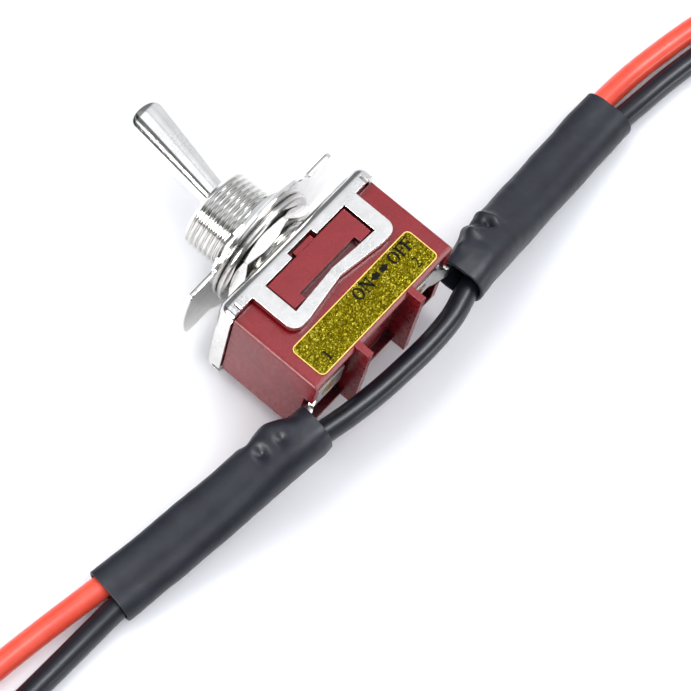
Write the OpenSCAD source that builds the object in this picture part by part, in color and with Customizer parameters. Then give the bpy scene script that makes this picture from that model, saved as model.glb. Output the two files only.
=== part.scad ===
// Two-position panel toggle switch, single pole, wired in line with a
// two-core lead. Millimetres. The bushing's axis is Y, the lever leaves
// towards +Y, the case is long in X, and the labelled face looks up (+Z).
// The origin is on the bushing's axis, at the front face of the frame.

/* [Case] */
// Length of the moulded case
case_l = 27.6; // [27.2:0.2:28]
// Thickness of the moulded case
case_t = 15; // [14.6:0.2:15.2]
// Depth from the frame's front face to the case's rear edge
case_d = 16.5; // [16.3:0.1:17]
// Distance that the two barriers stand out behind the rear edge
barrier_out = 2; // [1:0.2:2.4]
// Centre distance of each barrier from the middle
barrier_x = 5.3; // [4.8:0.1:6]

/* [Frame] */
// Length of the sheet metal frame
frame_l = 28.6; // [28.4:0.1:29.4]
// Width of the frame over its two side straps
frame_w = 17.9; // [17.7:0.1:18.2]
// Thickness of the sheet
sheet_t = 0.9; // [0.8:0.05:0.95]
// Outer radius of the folded rim
fold_r = 1.5; // [1.2:0.1:1.7]
// Depth of the rim
rim_d = 2.6; // [2.4:0.1:2.6]
// Reach of the side straps behind the frame's front face
strap_d = 9.7; // [9.5:0.1:10.2]

/* [Bushing and hardware] */
// Radius over the thread of the bushing
thread_r = 5.93; // [5.85:0.01:5.95]
// Length of the bushing in front of the frame
bushing_l = 11.9; // [11.5:0.1:12.5]
// Width across the flats of both nuts
nut_af = 14; // [13.5:0.5:15]
// Thickness of the back nut
back_nut_t = 1.85; // [1.5:0.05:1.85]
// Thickness of the front nut
front_nut_t = 1.6; // [1.5:0.1:2]
// Outer radius of the lock washer
washer_r = 8.7; // [8.4:0.1:9]
// Radius of the disc of the indicator plate
plate_r = 11; // [10.5:0.1:11]
// Radius to the ends of the plate's two wings
wing_r = 15; // [14:0.1:15.5]
// Width of the wings
wing_w = 12; // [11:0.5:13]
// Angle by which the indicator plate was left turned
plate_turn = 3; // [0:1:5]

/* [Lever] */
// Angle of the lever from the bushing's axis at either end of its travel
lever_tilt = 9; // [9:0.1:9.1]
// Length of the lever from its pivot to its tip
lever_l = 24.5; // [22:0.5:26]
// Radius of the lever near its tip
lever_tip_r = 3.1; // [2.6:0.1:3.2]
// Radius of the lever's neck
neck_r = 2; // [1.8:0.1:2.1]

/* [Leads] */
// Radius of each lead over its insulation
lead_r = 1.6; // [1.4:0.1:1.6]
// Radius of the tinned strands
core_r = 0.95; // [0.7:0.05:1]
// Length of tinned strands at each free end
core_l = 6; // [4:1:8]
// Wall of the heat-shrink sleeves
sleeve_wall = 0.45; // [0.3:0.05:0.5]

/* [Hidden] */
$fn = 64;
red_plastic = [0.62, 0.16, 0.19];
bright = [0.82, 0.83, 0.84];
steel = [0.7, 0.71, 0.72];
brass = [0.78, 0.62, 0.3];
copper = [0.75, 0.45, 0.3];
sleeve_grey = [0.2, 0.21, 0.23];

hl = case_l / 2;
ht = case_t / 2;
fhl = frame_l / 2;
fhw = frame_w / 2;
pivot_y = 3.8;        // lever pivot, on the bushing's axis
rock_y = -9.6;        // rocker pivot
rock_tilt = 8;        // rocker's tilt in the off position
floor_y = -12.8;      // floor of the cavity
recess_y = -15.2;     // floor of the terminal recesses
strip_t = 0.8;        // sheet of the terminals and brackets
rivet_x = 9.3;
nut_y0 = 0.95;
washer_y0 = nut_y0 + back_nut_t;
washer_t = 0.95;
plate_y0 = washer_y0 + washer_t;
plate_t = 0.65;
nut_y1 = plate_y0 + plate_t;
rest_z = -11;         // the surface that the switch lies on
root_r = thread_r - 0.43;  // root of the thread, where the nuts engage it

// ---- helpers ----------------------------------------------------------

// Extrudes a flat outline drawn in X and Z from y0 up to y1.
module along_y(y0, y1) {
    translate([0, y1, 0]) rotate([90, 0, 0]) linear_extrude(y1 - y0) children();
}
// Round solid about the Y axis, turned from an outline in [radius, y].
module turned(points) {
    rotate([-90, 0, 0]) rotate_extrude() polygon(points);
}
// Rectangle with round corners, in the plane.
module round_rect(w, h, r) {
    square([w - 2 * r, h], center = true);
    square([w, h - 2 * r], center = true);
    for (i = [-1, 1], j = [-1, 1])
        translate([i * (w / 2 - r), j * (h / 2 - r)]) circle(r, $fn = 32);
}
module box(x0, x1, y0, y1, z0, z1) {
    translate([x0, y0, z0]) cube([x1 - x0, y1 - y0, z1 - z0]);
}
// Slab whose front edges and corners are rounded to one radius.
module soft_slab(hx, hz, y0, y1, r) intersection() {
    box(-hx - 1, hx + 1, y0, y1 + 1, -hz - 1, hz + 1);
    union() {
    box(-hx + r, hx - r, y0, y1, -hz + r, hz - r);
    box(-hx, hx, y0, y1 - r, -hz + r, hz - r);
    box(-hx + r, hx - r, y0, y1 - r, -hz, hz);
    for (i = [-1, 1], j = [-1, 1]) translate([i * (hx - r), 0, j * (hz - r)]) {
        translate([0, y1 - r, 0]) rotate([90, 0, 0]) cylinder(r = r, h = y1 - r - y0, $fn = 32);
        translate([0, y1 - r, 0]) sphere(r, $fn = 32);
    }
    for (j = [-1, 1]) translate([-hx + r, y1 - r, j * (hz - r)])
        rotate([0, 90, 0]) cylinder(r = r, h = 2 * (hx - r), $fn = 32);
    for (i = [-1, 1]) translate([i * (hx - r), y1 - r, -hz + r])
        cylinder(r = r, h = 2 * (hz - r), $fn = 32);
    }
}
// Hexagon prism along Y with both faces chamfered, one corner at the angle.
module hex_nut(y0, t, af, corner, bore) {
    rc = af / sqrt(3);
    ro = rc + 0.05;
    c = (ro - af / 2 + 0.15) * tan(28);
    difference() {
        intersection() {
            along_y(y0, y0 + t) rotate(corner) circle(rc, $fn = 6);
            turned([[0, y0], [af / 2 - 0.15, y0], [ro, y0 + c], [ro, y0 + t - c],
                [af / 2 - 0.15, y0 + t], [0, y0 + t]]);
        }
        along_y(y0 - 1, y0 + t + 1) circle(bore);
    }
}
// Frame of the lever: its own axis along Y, its pivot at the origin.
module lever_frame() {
    translate([0, pivot_y, 0]) rotate([0, 0, -lever_tilt]) children();
}
module rocker_frame() {
    translate([0, rock_y, 0]) rotate([0, 0, rock_tilt]) children();
}

// Sweeps: a section of unit points is set across each point of a route.
function unit(v) = v / norm(v);
function tangent(p, i) = unit(p[min(i + 1, len(p) - 1)] - p[max(i - 1, 0)]);
function side_of(t) = unit(cross(t, [0, 0, 1]));
function ring(p, i, a, b, n, e) =
    let (t = tangent(p, i), s = side_of(t), u = cross(s, t))
    [for (k = [0 : n - 1]) let (w = 360 * k / n, c = cos(w), q = sin(w))
        p[i] + s * a * sign(c) * pow(abs(c), 2 / e) + u * b * sign(q) * pow(abs(q), 2 / e)];
function wrap(n, rings, base = 0) = [for (i = [0 : rings - 2], k = [0 : n - 1])
    [base + i * n + k, base + i * n + (k + 1) % n, base + (i + 1) * n + (k + 1) % n, base + (i + 1) * n + k]];

// Round tube along a route, closed by flat ends.
module cord(route, r, n = 8) {
    m = len(route);
    polyhedron(
        points = [for (i = [0 : m - 1]) each ring(route, i, r, r, n, 2)],
        faces = concat(wrap(n, m),
            [[for (k = [n - 1 : -1 : 0]) k]],
            [[for (k = [0 : n - 1]) (m - 1) * n + k]]));
}
// Open sleeve along a route of [x, y, z, half width, half height].
module sleeve(stations, wall, n = 20, e = 3.2) {
    m = len(stations);
    p = [for (s = stations) [s[0], s[1], s[2]]];
    polyhedron(
        points = concat(
            [for (i = [0 : m - 1]) each ring(p, i, stations[i][3], stations[i][4], n, e)],
            [for (i = [0 : m - 1]) each ring(p, i, stations[i][3] - wall, stations[i][4] - wall, n, e)]),
        faces = concat(wrap(n, m),
            [for (f = wrap(n, m, m * n)) [f[3], f[2], f[1], f[0]]],
            [for (k = [0 : n - 1]) [m * n + k, m * n + (k + 1) % n, (k + 1) % n, k]],
            [for (k = [0 : n - 1]) [(m - 1) * n + k, (m - 1) * n + (k + 1) % n,
                (2 * m - 1) * n + (k + 1) % n, (2 * m - 1) * n + k]]));
}

// ---- routes of the leads and sleeves ----------------------------------

left_sleeve_stations = [
    [-14.45, -18.45, -0.4, 3.1, 3.0], [-16, -18.2, -0.6, 3.4, 3.2],
    [-18.5, -17.6, -1.0, 3.65, 3.3], [-21, -17.0, -1.9, 3.8, 3.2],
    [-25, -16.4, -3.2, 3.8, 2.8], [-30, -15.6, -4.7, 3.85, 2.45],
    [-36, -14.6, -6.4, 3.9, 2.35], [-42, -13.6, -7.8, 3.9, 2.35],
    [-47, -12.8, -8.6, 3.95, 2.35]];
right_sleeve_stations = [
    [14.3, -18.95, -0.4, 3.5, 3.0], [17, -18.7, -0.6, 3.5, 3.2],
    [19.5, -18.4, -1.1, 3.65, 3.3], [22.5, -18.1, -1.9, 3.75, 3.2],
    [27, -17.8, -3.2, 3.8, 2.8], [33, -17.4, -4.7, 3.8, 2.45],
    [40, -17.0, -6.4, 3.85, 2.35], [47, -16.6, -7.8, 3.9, 2.35],
    [52.5, -16.4, -8.6, 3.9, 2.35]];
left_red_route = [
    [-22, -15.2, -2.1], [-25, -14.75, -3.2], [-30, -13.95, -4.7],
    [-36, -12.9, -6.4], [-42, -11.9, -7.8], [-47, -11, -8.7],
    [-52, -10.1, -9.2], [-57, -9.3, -9.4], [-64, -8.4, -9.4],
    [-72, -7.6, -9.4], [-80, -7.2, -9.4], [-88, -7.2, -9.4],
    [-96, -7.6, -9.4], [-106, -8.7, -9.4]];
right_red_route = [
    [24.5, -16.3, -2.6], [27, -16.1, -3.2], [33, -15.7, -4.7],
    [40, -15.3, -6.4], [47, -14.9, -7.8], [52.5, -14.6, -8.7],
    [58, -14.7, -9.25], [64, -15.3, -9.4], [72, -16.6, -9.4],
    [80, -18.4, -9.4], [88, -20.6, -9.4], [96, -23.2, -9.4],
    [106, -26.8, -9.4]];
black_route = [
    [-106, -14.8, -9.4], [-96, -13.9, -9.4],
    [-88, -13.5, -9.4], [-80, -13.4, -9.4], [-72, -13.5, -9.4],
    [-64, -13.8, -9.4], [-57, -14, -9.4], [-52, -14.15, -9.2],
    [-47, -14.4, -8.7], [-42, -15.3, -7.8], [-36, -16.3, -6.4],
    [-30, -17.3, -4.7], [-25, -18.1, -3.3], [-21, -18.6, -2.2],
    [-18.5, -18.95, -1.6], [-16, -19.2, -1.2], [-14.1, -19.45, -1],
    [-10, -20.3, -0.9], [-5, -21, -0.9], [0, -21.4, -0.9],
    [5, -21.6, -0.9], [10, -21.3, -0.9], [14.3, -20.3, -1],
    [17, -20.05, -1.2], [19.5, -19.95, -1.6], [22.5, -19.75, -2.1],
    [27, -19.5, -3.3], [33, -19.1, -4.7], [40, -18.7, -6.4],
    [47, -18.3, -7.8], [52.5, -18.1, -8.7], [58, -18.5, -9.25],
    [64, -19.1, -9.4], [72, -20.4, -9.4], [80, -22.2, -9.4],
    [88, -24.4, -9.4], [96, -27, -9.4], [106, -30.6, -9.4]];

// ---- case --------------------------------------------------------------

// Raised pad that a window of the frame snaps over, with two feet, and the
// small tab that sits in the notch of the window.
module snap_pad() {
    top = fhw - 0.3;
    box(-7.6, 7.6, -6.5, -2.85, ht - 0.5, top);
    for (s = [-1, 1]) box(s > 0 ? 5.5 : -7.6, s > 0 ? 7.6 : -5.5, -7.5, -6.4, ht - 0.5, top);
    box(-1.7, 1.8, -3, -2.05, ht - 0.5, top - 0.25);
}
module case() {
    color(red_plastic) difference() {
        union() {
            difference() {
                along_y(-case_d, -rim_d - 0.1) round_rect(case_l, case_t, 0.45);
                // bevel along the two long rear edges
                for (m = [0, 1]) mirror([0, 0, m]) translate([-hl - 1, 0, 0]) rotate([90, 0, 90])
                    linear_extrude(case_l + 2) polygon([[-case_d + 0.95, ht + 0.5],
                        [-case_d - 0.5, ht - 0.95], [-case_d - 0.5, ht + 0.5]]);
            }
            along_y(-rim_d - 0.11, -1.25) round_rect(25.8, 14.4, 0.4);
            snap_pad();
            mirror([0, 0, 1]) snap_pad();
            for (s = [-1, 1])
                box(s * barrier_x - 0.52, s * barrier_x + 0.52, -case_d - barrier_out, recess_y, -ht, ht);
        }
        // cavity of the mechanism, open towards the frame
        box(-12.2, 12.2, floor_y, 0, -5.9, 5.9);
        // three terminal recesses in the rear, parted by the barriers
        box(-hl + 1, -barrier_x - 0.52, -case_d - 1, recess_y, -ht + 1, ht - 1);
        box(-barrier_x + 0.52, barrier_x - 0.52, -case_d - 1, recess_y, -ht + 1, ht - 1);
        box(barrier_x + 0.52, hl - 1, -case_d - 1, recess_y, -ht + 1, ht - 1);
        // slots that let the terminals out through the end walls
        for (s = [-1, 1])
            box(s > 0 ? hl - 1.5 : -hl - 1, s > 0 ? hl + 1 : -hl + 1.5, -case_d - 1, recess_y, -2.7, 2.7);
        // holes of the two rivets
        for (s = [-1, 1]) translate([s * rivet_x, 0, 0])
            along_y(-case_d, floor_y + 1) circle(1.3);
    }
}

// ---- frame -------------------------------------------------------------

// Flat outline of one side strap, in X and Y, before it is given its sheet.
module strap_outline() {
    r = 1.5;
    difference() {
        union() {
            translate([-10.25, -strap_d + r]) square([20.5, strap_d - r - 1.6]);
            translate([-10.25 + r, -strap_d]) square([20.5 - 2 * r, r + 0.1]);
            for (s = [-1, 1]) translate([s * (10.25 - r), -strap_d + r]) circle(r, $fn = 32);
        }
        // the bar is crimped inward at its middle
        polygon([[-7.4, -strap_d - 0.1], [-7.4, -strap_d], [0, -strap_d + 1], [7.4, -strap_d], [7.4, -strap_d - 0.1]]);
        // window, with its notch
        polygon([[-7.9, -2.67], [-2.5, -2.67], [-2.5, -1.75], [2.3, -1.75], [2.3, -2.67],
            [7.9, -2.67], [7.9, -strap_d + 1.85], [4, -strap_d + 2.1], [0, -strap_d + 2.42],
            [-4, -strap_d + 2.1], [-7.9, -strap_d + 1.85]]);
    }
}
module frame() {
    color(bright) difference() {
        union() {
            difference() {
                soft_slab(fhl, fhw, -rim_d, 0, fold_r);
                soft_slab(fhl - sheet_t, fhw - sheet_t, -rim_d - 1, -sheet_t, fold_r - sheet_t);
            }
            for (s = [-1, 1]) translate([0, 0, s > 0 ? fhw - sheet_t : -fhw])
                linear_extrude(sheet_t) strap_outline();
        }
        // hole of the bushing
        along_y(-4, 1) circle(5);
        // notch, where it runs up into the rim
        for (s = [-1, 1]) box(-2.5, 2.3, -2.8, -1.75, s > 0 ? fhw - sheet_t - 0.2 : -fhw - 1, s > 0 ? fhw + 1 : -fhw + sheet_t + 0.2);
        // slits that part the folded rim at its four corners
        for (i = [-1, 1], j = [-1, 1]) translate([i * (fhl - 0.9), 0, j * (fhw - 0.9)])
            rotate([0, i * j * 45, 0]) box(-2.2, 2.2, -rim_d - 1, -1.5, -0.15, 0.15);
    }
}
module insulating_sheet() {
    color([0.35, 0.3, 0.25]) along_y(-1.25, -sheet_t) difference() {
        round_rect(25.2, 14.4, 0.5);
        circle(5.9);
    }
}

// ---- bushing, nuts and plates ------------------------------------------

module bushing() {
    color(bright) difference() {
        turned([[0, -1.6], [5.6, -1.6], [5.6, -sheet_t - 0.05], [5.6, -sheet_t], [5, -sheet_t], [5, 0], [root_r, 0],
            [root_r, 6.2], [thread_r, 6.2], [thread_r, bushing_l - 0.5], [thread_r - 0.5, bushing_l], [0, bushing_l]]);
        // mouth that lets the lever tilt
        turned([[0, 6], [2.85, 6], [2.85, 6.6], [3.75, bushing_l + 0.01], [0, bushing_l + 0.01]]);
        // seat of the ball, open below
        translate([0, pivot_y, 0]) sphere(3.5);
        along_y(-2, pivot_y) circle(3.75);
        // cross hole of the pin
        translate([0, pivot_y, -7]) cylinder(r = 0.85, h = 14, $fn = 32);
    }
}
module back_nut() { color(bright) hex_nut(nut_y0, back_nut_t, nut_af, 76, root_r + 0.03); }
module front_nut() { color(bright) hex_nut(nut_y1, front_nut_t, nut_af, 49, root_r + 0.03); }
module lock_washer() {
    y0 = washer_y0; y1 = y0 + washer_t; r = washer_r;
    color(steel) union() {
        turned([[6.9, y0 + 0.1], [7, y0], [r - 0.35, y0], [r - 0.1, y0 + 0.12], [r, y0 + 0.35],
            [r, y1 - 0.35], [r - 0.1, y1 - 0.12], [r - 0.35, y1], [7, y1], [6.9, y1 - 0.1]]);
        for (k = [0 : 13]) rotate([0, k * 360 / 14, 0]) translate([6.62, (y0 + y1) / 2, 0])
            rotate([18, 0, 0]) cube([1.1, 0.45, 1.3], center = true);
    }
}
module indicator_plate() {
    color(bright) along_y(plate_y0, plate_y0 + plate_t) rotate(plate_turn) difference() {
        union() {
            circle(plate_r, $fn = 96);
            intersection() {
                circle(wing_r, $fn = 96);
                square([2 * wing_r + 1, wing_w], center = true);
            }
        }
        circle(thread_r + 0.1);
    }
}
module label_foil() {
    color([0.68, 0.62, 0.12]) translate([-0.2, -13.25, ht]) linear_extrude(0.12) round_rect(23.5, 5.5, 0.8);
}

// ---- lever and plunger -------------------------------------------------

module lever() {
    l = lever_l; t = lever_tip_r;
    color(bright) lever_frame() difference() {
        union() {
            sphere(3.4);
            turned(concat([[0, -8.4], [2.35, -8.4], [2.6, -8.15], [2.6, -1], [neck_r, -1], [neck_r, 8.2], [t, l - 1.9]],
                [for (w = [10 : 10 : 90]) [t - 1.3 + 1.3 * cos(w), l - 1.9 + 1.45 * sin(w)]],
                [for (w = [80 : -20 : 0]) [(t - 1.3) * sin(w), l - 0.45 + 0.45 * cos(w)]]));
        }
        // bore of the spring and plunger
        turned([[0, -9], [1.6, -9], [1.6, -1.4], [0, -1.4]]);
        // cross hole of the pin
        translate([0, 0, -7]) cylinder(r = 0.8, h = 14, $fn = 32);
    }
}
module lever_pin() {
    color(steel) lever_frame() translate([0, 0, -5.2]) cylinder(r = 0.8, h = 10.4, $fn = 32);
}
module plunger() {
    color([0.9, 0.88, 0.82]) lever_frame() union() {
        turned([[0, -9.36], [1.54, -9.36], [1.54, -5.9], [1.4, -5.7], [0, -5.7]]);
        translate([0, -9.36, 0]) sphere(1.54);
    }
}
module plunger_spring() {
    turns = 6; per = 14; r = 1.2; y0 = -5.5; y1 = -1.6; d = 0.34;
    route = [for (i = [0 : turns * per]) let (w = 360 * i / per)
        [r * cos(w), y0 + (y1 - y0) * i / (turns * per), r * sin(w)]];
    color(steel) lever_frame() coil(route, d / 2);
}
// Round wire wound about the Y axis.
module coil(route, r, n = 6) {
    m = len(route);
    polyhedron(
        points = [for (i = [0 : m - 1]) let (t = tangent(route, i),
            s = unit([route[i][0], 0, route[i][2]]), u = cross(t, s))
            for (k = [0 : n - 1]) route[i] + s * r * cos(360 * k / n) + u * r * sin(360 * k / n)],
        faces = concat([for (f = wrap(n, m)) [f[3], f[2], f[1], f[0]]],
            [[for (k = [0 : n - 1]) k]],
            [[for (k = [n - 1 : -1 : 0]) (m - 1) * n + k]]));
}

// ---- contacts ----------------------------------------------------------

module rocker() {
    top = [[-7.2, 3.8], [-2.4, 3.13], [0, 2.3], [2.4, 3.13], [7.2, 3.8]];
    under = [[7.2, 3], [2.5, 2.33], [0, 1.45], [-2.5, 2.33], [-7.2, 3]];
    color(brass) rocker_frame() union() {
        translate([0, 0, -2.5]) linear_extrude(5) polygon(concat(top, under));
        for (s = [-1, 1]) {
            // ear that hangs from the plate
            translate([0, 0, s > 0 ? 1.9 : -2.5]) linear_extrude(0.6)
                polygon([[-1.1, -0.7], [1.1, -0.7], [1.5, 2], [0, 1.6], [-1.5, 2]]);
            // trunnion that sits in the bracket
            translate([0, 0, s > 0 ? 2.4 : -3.7]) cylinder(r = 0.6, h = 1.3, $fn = 32);
        }
    }
}
module moving_contact() {
    color([0.85, 0.85, 0.85]) rocker_frame() translate([6.2, 2.857, 0]) rotate([0, 0, 8.08])
        translate([0, 0, 0]) along_y(-0.6, 0) circle(1.15, $fn = 32);
}
module fulcrum_bracket() {
    color(brass) difference() {
        union() {
            box(-11.4, 2, floor_y, floor_y + strip_t, -2.3, 2.3);
            box(-2, 2, floor_y, floor_y + strip_t, -3.5, 3.5);
            // ears that carry the rocker
            for (s = [-1, 1]) box(-1.6, 1.6, floor_y, rock_y + 0.6, s > 0 ? 2.75 : -3.5, s > 0 ? 3.5 : -2.75);
            // stop that the rocker rests on in the off position
            box(-7.3, -6.5, floor_y, -7.69, -2, 2);
        }
        translate([0, rock_y, -5]) cylinder(r = 0.65, h = 10, $fn = 32);
        box(-0.65, 0.65, rock_y, rock_y + 2, -5, 5);
        translate([-rivet_x, 0, 0]) along_y(floor_y - 1, floor_y + 3) circle(1.3);
    }
}
module contact_bracket() {
    color(brass) difference() {
        union() {
            box(7.4, 11.8, floor_y, floor_y + strip_t, -2.3, 2.3);
            box(11, 11.8, floor_y, -8.9, -2.3, 2.3);
            box(5.1, 11.8, -9.7, -8.9, -2.3, 2.3);
        }
        translate([rivet_x, 0, 0]) along_y(floor_y - 1, floor_y + 2) circle(1.3);
    }
}
module fixed_contact() {
    color([0.85, 0.85, 0.85]) translate([6.5, 0, 0])
        turned([[0, -8.9], [1.3, -8.9], [1.3, -8.42], [1.1, -8.3], [0, -8.27]]);
}

// Strip of one terminal: flat on its recess, then bent out past the end wall.
module terminal_strip(grow = 0) {
    difference() {
        intersection() {
            translate([0, 0, -2.3]) linear_extrude(4.6)
                polygon([[6.4, recess_y], [12, recess_y], [14.2, -16.2], [18.6, -16.4], [18.6, -17.2],
                    [14, -17], [11.8, recess_y - strip_t], [6.4, recess_y - strip_t]]);
            along_y(-19, -14) polygon([[6.3, -2.3], [12.4, -2.3], [13.6, -1.3], [19, -1.3],
                [19, 1.3], [13.6, 1.3], [12.4, 2.3], [6.3, 2.3]]);
        }
        translate([rivet_x, 0, 0]) along_y(-18, -14) circle(1.3);
    }
}
module left_terminal() { color(bright) mirror([1, 0, 0]) terminal_strip(); }
module right_terminal() { color(bright) terminal_strip(); }
module terminal_rivets() {
    color(brass) for (s = [-1, 1]) translate([s * rivet_x, 0, 0])
        turned([[0, floor_y + strip_t + 0.6], [1.1, floor_y + strip_t + 0.6], [1.6, floor_y + strip_t + 0.25],
            [1.6, floor_y + strip_t], [1.25, floor_y + strip_t], [1.25, recess_y - strip_t],
            [1.9, recess_y - strip_t], [1.9, recess_y - strip_t - 0.2], [1.5, recess_y - strip_t - 0.5],
            [0.8, recess_y - strip_t - 0.5], [0.6, recess_y - strip_t - 0.2], [0, recess_y - strip_t - 0.2]]);
}

// ---- solder, sleeves and leads ------------------------------------------

module left_solder() {
    color([0.8, 0.8, 0.8]) difference() {
        hull() {
            translate([-16.4, -15.95, 0]) sphere(0.5, $fn = 24);
            translate([-18.2, -15.65, -0.4]) sphere(0.9, $fn = 24);
            translate([-21.6, -15.26, -1.95]) sphere(1, $fn = 24);
        }
        mirror([1, 0, 0]) terminal_strip();
        translate([-22, -15.2, -2.1]) rotate([0, 0, 0]) box(-4, 0.02, -4, 4, -4, 4);
    }
}
module right_solder() {
    color([0.8, 0.8, 0.8]) difference() {
        hull() {
            translate([16.6, -16.15, 0]) sphere(0.35, $fn = 24);
            translate([18.4, -16.25, -0.4]) sphere(0.75, $fn = 24);
            translate([24, -16.35, -2.4]) sphere(1, $fn = 24);
        }
        terminal_strip();
        translate([24.5, 0, 0]) box(-0.02, 4, -20, -12, -6, 4);
    }
}
module left_sleeve() { color(sleeve_grey) sleeve(left_sleeve_stations, sleeve_wall); }
module right_sleeve() { color(sleeve_grey) sleeve(right_sleeve_stations, sleeve_wall); }
module left_red_lead() { color([0.9, 0.2, 0.14]) cord(left_red_route, lead_r); }
module right_red_lead() { color([0.9, 0.2, 0.14]) cord(right_red_route, lead_r); }
module black_lead() { color([0.08, 0.08, 0.09]) cord(black_route, lead_r); }
// Tinned strands that show beyond the insulation at a free end.
module strands(route, i, j) {
    t = unit(route[i] - route[j]);
    color(copper) cord([route[i], route[i] + t * core_l / 2, route[i] + t * core_l], core_r);
}
module left_red_strands() { strands(left_red_route, len(left_red_route) - 1, len(left_red_route) - 2); }
module right_red_strands() { strands(right_red_route, len(right_red_route) - 1, len(right_red_route) - 2); }
module left_black_strands() { strands(black_route, 0, 1); }
module right_black_strands() { strands(black_route, len(black_route) - 1, len(black_route) - 2); }

case();
frame();
insulating_sheet();
bushing();
lever();
lever_pin();
plunger();
plunger_spring();
rocker();
moving_contact();
fulcrum_bracket();
contact_bracket();
fixed_contact();
left_terminal();
right_terminal();
terminal_rivets();
back_nut();
lock_washer();
indicator_plate();
front_nut();
label_foil();
left_solder();
right_solder();
left_sleeve();
right_sleeve();
left_red_lead();
right_red_lead();
black_lead();
left_red_strands();
right_red_strands();
left_black_strands();
right_black_strands();
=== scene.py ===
# Looks of the panel toggle switch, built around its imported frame.
# Lengths in the lists below are millimetres unless a name says otherwise;
# MM turns them into Blender's metres.
import math
import random

import bmesh
import bpy
from mathutils import Matrix, Vector, noise
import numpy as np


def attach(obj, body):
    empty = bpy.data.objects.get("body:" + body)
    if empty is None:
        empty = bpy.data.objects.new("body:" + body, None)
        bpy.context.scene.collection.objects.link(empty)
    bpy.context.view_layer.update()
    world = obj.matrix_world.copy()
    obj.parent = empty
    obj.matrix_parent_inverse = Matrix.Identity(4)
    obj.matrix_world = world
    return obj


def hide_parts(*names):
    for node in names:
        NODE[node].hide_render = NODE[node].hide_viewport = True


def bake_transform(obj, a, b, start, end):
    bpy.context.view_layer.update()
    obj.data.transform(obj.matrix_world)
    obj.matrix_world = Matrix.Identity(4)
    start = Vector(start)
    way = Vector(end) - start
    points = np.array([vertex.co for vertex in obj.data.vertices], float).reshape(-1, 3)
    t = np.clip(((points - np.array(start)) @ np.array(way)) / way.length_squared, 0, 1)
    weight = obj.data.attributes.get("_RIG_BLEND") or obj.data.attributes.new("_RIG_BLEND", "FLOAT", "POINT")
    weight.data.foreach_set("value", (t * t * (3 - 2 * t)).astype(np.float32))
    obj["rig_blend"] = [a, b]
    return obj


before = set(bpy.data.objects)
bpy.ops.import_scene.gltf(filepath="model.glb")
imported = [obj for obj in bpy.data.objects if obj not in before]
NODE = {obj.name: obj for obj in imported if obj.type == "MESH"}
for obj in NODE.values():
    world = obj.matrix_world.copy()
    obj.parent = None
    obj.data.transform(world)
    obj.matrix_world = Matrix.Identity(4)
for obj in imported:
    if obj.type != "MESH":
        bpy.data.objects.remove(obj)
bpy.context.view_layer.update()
MM = 0.001
SCENE = bpy.context.scene
SWITCH, LEVER, PLUNGER, ROCKER = "switch_body", "lever_body", "plunger_body", "rocker_body"
REST_Z = -11.0          # the floor under the switch
PIVOT_Y = 3.8
TILT = math.radians(9)


# ---- camera ------------------------------------------------------------

def camera():
    az, el, roll = (math.radians(a) for a in (-67.199, 64.563, 18.826))
    back = Vector((math.sin(az) * math.cos(el), -math.cos(az) * math.cos(el), math.sin(el)))
    right0 = Vector((0, 0, 1)).cross(back).normalized()
    up0 = back.cross(right0)
    right = math.cos(roll) * right0 + math.sin(roll) * up0
    up = -math.sin(roll) * right0 + math.cos(roll) * up0
    at = Vector((-3.273, -13.854, 0)) + back * 432.847
    cam = bpy.data.cameras.new("camera")
    cam.sensor_width = 36
    cam.lens = 36 * 3350.42 / 691
    cam.clip_start, cam.clip_end = 0.01, 20
    ob = bpy.data.objects.new("camera", cam)
    ob.matrix_world = Matrix.Translation(at * MM) @ Matrix((right, up, back)).transposed().to_4x4()
    SCENE.collection.objects.link(ob)
    SCENE.camera = ob


camera()


# ---- node helpers ------------------------------------------------------

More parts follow.
